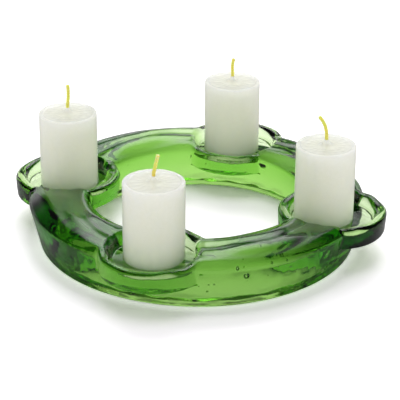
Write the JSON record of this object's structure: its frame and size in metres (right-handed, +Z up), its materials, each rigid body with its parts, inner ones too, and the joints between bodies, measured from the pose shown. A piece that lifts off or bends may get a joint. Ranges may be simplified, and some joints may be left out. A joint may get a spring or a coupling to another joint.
{
  "type": "advent candle holder",
  "caption": "Table wreath of solid cast green glass with round cups that bulge from the ring and hold lift-out stub candles.",
  "frame": {"origin": "middle of the ring on the table surface, under the centre of its flat base", "axes": "+Z up; the front cup is towards -Y, the right cup towards +X, the back cup towards +Y and the left cup towards -X"},
  "size_m": [0.2622, 0.2622, 0.0992],
  "materials": {
    "green_glass": "cast, fire-polished",
    "candle_wax": "satin paraffin wax",
    "wick_cotton": "waxed braided cotton",
    "tab_tinplate": "pressed tinplate"
  },
  "bodies": {
    "holder": {"glass_ring": "green_glass"},
    "front_candle": {"candle_front": "candle_wax", "wick_front": "wick_cotton", "wick_tab_front": "tab_tinplate"},
    "right_candle": {"candle_right": "candle_wax", "wick_right": "wick_cotton", "wick_tab_right": "tab_tinplate"},
    "back_candle": {"candle_back": "candle_wax", "wick_back": "wick_cotton", "wick_tab_back": "tab_tinplate"},
    "left_candle": {"candle_left": "candle_wax", "wick_left": "wick_cotton", "wick_tab_left": "tab_tinplate"}
  },
  "joints": [
    {"name": "front_candle_lift", "type": "slide", "parent": "holder", "child": "front_candle", "axis": [0, 0, 1], "range_m": [0, 0.06]},
    {"name": "right_candle_lift", "type": "slide", "parent": "holder", "child": "right_candle", "axis": [0, 0, 1], "range_m": [0, 0.06]},
    {"name": "back_candle_lift", "type": "slide", "parent": "holder", "child": "back_candle", "axis": [0, 0, 1], "range_m": [0, 0.06]},
    {"name": "left_candle_lift", "type": "slide", "parent": "holder", "child": "left_candle", "axis": [0, 0, 1], "range_m": [0, 0.06]}
  ]
}
